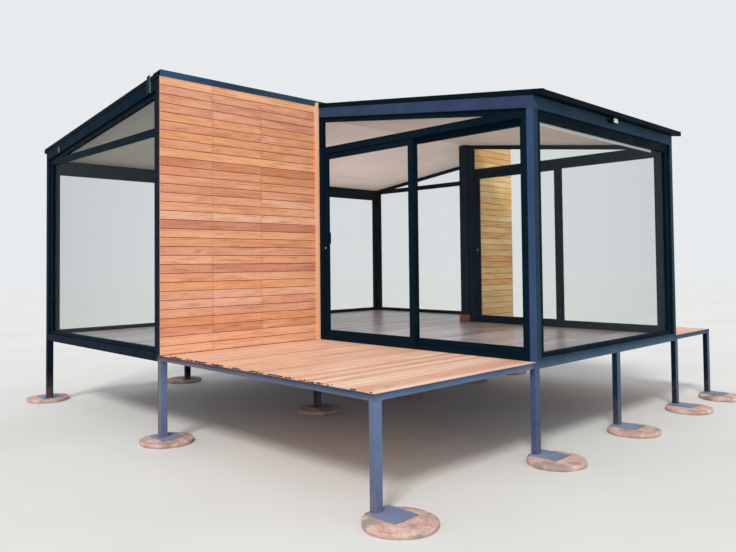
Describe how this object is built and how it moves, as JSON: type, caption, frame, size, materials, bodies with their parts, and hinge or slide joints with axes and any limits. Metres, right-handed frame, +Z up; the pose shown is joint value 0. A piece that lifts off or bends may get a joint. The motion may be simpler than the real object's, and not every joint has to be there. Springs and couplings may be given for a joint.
{
  "type": "raised glazed cabin",
  "caption": "Steel-framed cabin on legs: two glazed bays under a low split-pitch roof, board-clad wall wings, a timber deck at each side and sliding glass doors.",
  "frame": {"origin": "middle of the plan at the underside of the footing pads", "axes": "+X along the ridge from the long wall wing to the short one, +Y across it from the front bay to the back bay, +Z up"},
  "size_m": [7.0198, 7.4298, 3.9965],
  "materials": {
    "steel_paint": "satin blue-charcoal paint",
    "roof_paint": "satin near-black coating",
    "frame_coating": "near-black powder coating",
    "clear_glass": "clear float glass",
    "cladding_timber": "oiled orange-tan boards",
    "deck_timber": "oiled pinkish tan boards",
    "ceiling_board": "pale beige board, matt",
    "floor_board": "pale grey-pink laminate planks",
    "wall_board": "pale board, matt",
    "concrete": "rough concrete",
    "lamp_body": "black casting, white lens",
    "white_rail": "satin white"
  },
  "bodies": {
    "root": {"footing_pads": "concrete", "base_plates": "steel_paint", "legs": "steel_paint", "floor_beams_long": "steel_paint", "floor_beams_cross": "steel_paint", "floor_joists": "steel_paint", "deck_joists": "steel_paint", "deck_edge_frames": "steel_paint", "posts": "steel_paint", "ridge_beam": "steel_paint", "rake_beams": "steel_paint", "eave_beams": "steel_paint", "purlins": "steel_paint", "front_roof_panel": "roof_paint", "back_roof_panel": "roof_paint", "ridge_flashing": "roof_paint", "roof_edge_flashings": "roof_paint", "splice_plates": "steel_paint", "front_ceiling": "ceiling_board", "back_ceiling": "ceiling_board", "floor_panel": "floor_board", "front_deck": "deck_timber", "back_deck": "deck_timber", "wall_cores": "wall_board", "wall_cladding": "cladding_timber", "wall_linings": "wall_board", "cladding_trims": "cladding_timber", "front_door_frame": "frame_coating", "back_door_frame": "frame_coating", "fixed_door_panels": "frame_coating", "fixed_door_glass": "clear_glass", "transom_frames": "frame_coating", "transom_glass": "clear_glass", "gable_window_frames": "frame_coating", "gable_window_glass": "clear_glass", "eave_window_frames": "frame_coating", "eave_window_glass": "clear_glass", "floodlight": "lamp_body", "window_head_rail": "white_rail"},
    "front_sliding_door": {"front_sliding_panel": "frame_coating", "front_sliding_glass": "clear_glass", "front_door_handle": "frame_coating"},
    "back_sliding_door": {"back_sliding_panel": "frame_coating", "back_sliding_glass": "clear_glass", "back_door_handle": "frame_coating"}
  },
  "joints": [
    {"name": "front_door_slide", "type": "slide", "parent": "root", "child": "front_sliding_door", "axis": [0, -1, 0], "range_m": [0, 1.38]},
    {"name": "back_door_slide", "type": "slide", "parent": "root", "child": "back_sliding_door", "axis": [0, -1, 0], "range_m": [0, 1.38]}
  ]
}
